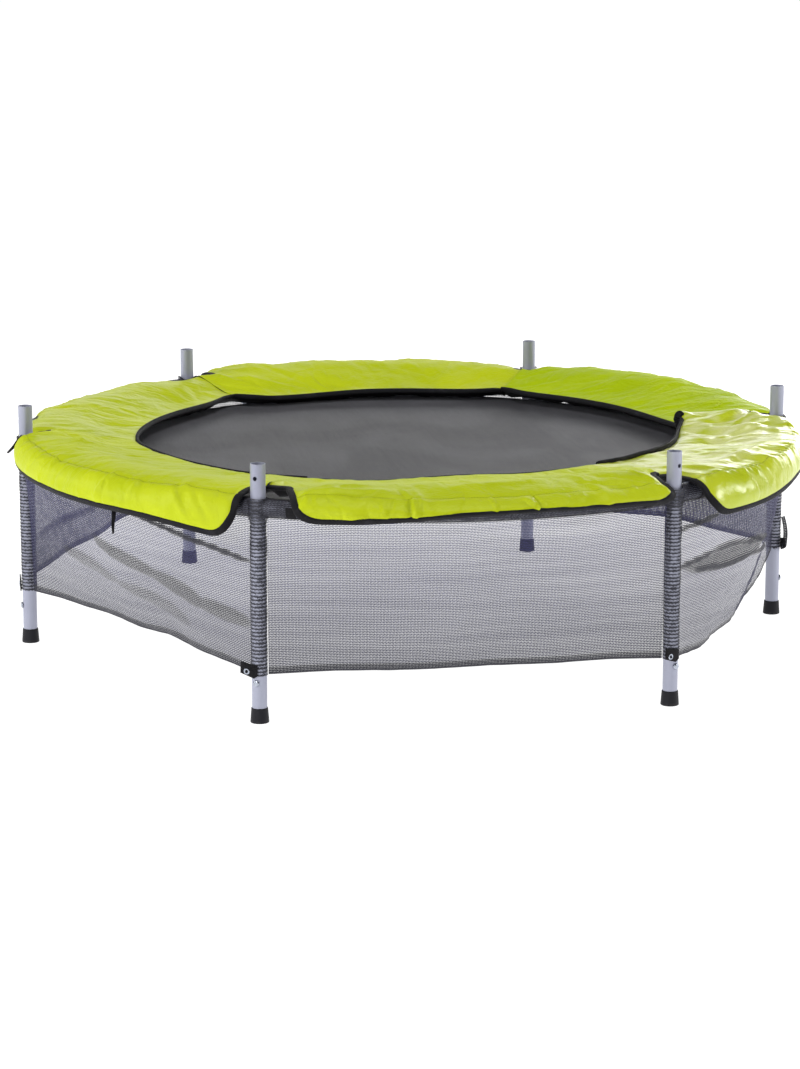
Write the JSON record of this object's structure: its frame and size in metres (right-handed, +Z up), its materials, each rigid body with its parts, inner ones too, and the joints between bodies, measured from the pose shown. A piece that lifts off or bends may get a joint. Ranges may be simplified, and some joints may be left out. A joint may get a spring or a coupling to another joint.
{
  "type": "trampoline",
  "caption": "Low round children's trampoline on a ring frame with capped legs, a sprung mat, a padded edge cover and netting round the legs.",
  "frame": {"origin": "on the floor, under the middle of the mat", "axes": "+Z up, +X towards upright 3, +Y across the bay between uprights 4 and 5"},
  "size_m": [1.4666, 1.4694, 0.43],
  "materials": {
    "zinc_tube": "galvanised, satin",
    "rubber": "matte",
    "bright_steel": "bright plated",
    "mat_weave": "fine plain weave",
    "webbing": "ribbed webbing",
    "zinc_wire": "zinc plated",
    "spring_steel": "zinc plated",
    "pad_cover": "lime coated fabric, slight sheen",
    "netting": "knitted mesh"
  },
  "bodies": {
    "frame": {"frame_tube_1": "zinc_tube", "frame_tube_2": "zinc_tube", "frame_tube_3": "zinc_tube", "frame_tube_4": "zinc_tube", "frame_tube_5": "zinc_tube", "frame_tube_6": "zinc_tube", "upright_1": "zinc_tube", "upright_2": "zinc_tube", "upright_3": "zinc_tube", "upright_4": "zinc_tube", "upright_5": "zinc_tube", "upright_6": "zinc_tube", "leg_1": "zinc_tube", "leg_2": "zinc_tube", "leg_3": "zinc_tube", "leg_4": "zinc_tube", "leg_5": "zinc_tube", "leg_6": "zinc_tube", "foot_cap_1": "rubber", "foot_cap_2": "rubber", "foot_cap_3": "rubber", "foot_cap_4": "rubber", "foot_cap_5": "rubber", "foot_cap_6": "rubber", "leg_screws": "bright_steel", "springs": "spring_steel", "pad_1": "pad_cover", "pad_2": "pad_cover", "pad_3": "pad_cover", "pad_4": "pad_cover", "pad_5": "pad_cover", "pad_6": "pad_cover", "pad_ties": "webbing", "net_header_1": "netting", "net_header_2": "netting", "net_header_3": "netting", "net_header_4": "netting", "net_header_5": "netting", "net_header_6": "netting", "net_panel_1": "netting", "net_panel_2": "netting", "net_panel_3": "netting", "net_panel_4": "netting", "net_panel_5": "netting", "net_panel_6": "netting", "leg_sleeve_1": "netting", "leg_sleeve_2": "netting", "leg_sleeve_3": "netting", "leg_sleeve_4": "netting", "leg_sleeve_5": "netting", "leg_sleeve_6": "netting", "net_tabs": "webbing", "net_eyelets": "bright_steel"},
    "bed": {"jump_mat": "mat_weave", "mat_hem": "webbing", "mat_rings": "zinc_wire"}
  },
  "joints": [
    {"name": "mat_bounce", "type": "slide", "parent": "frame", "child": "bed", "axis": [0, 0, -1], "range_m": [0, 0.15], "stiffness_N_per_m": 5000, "deforming": ["springs"]}
  ]
}
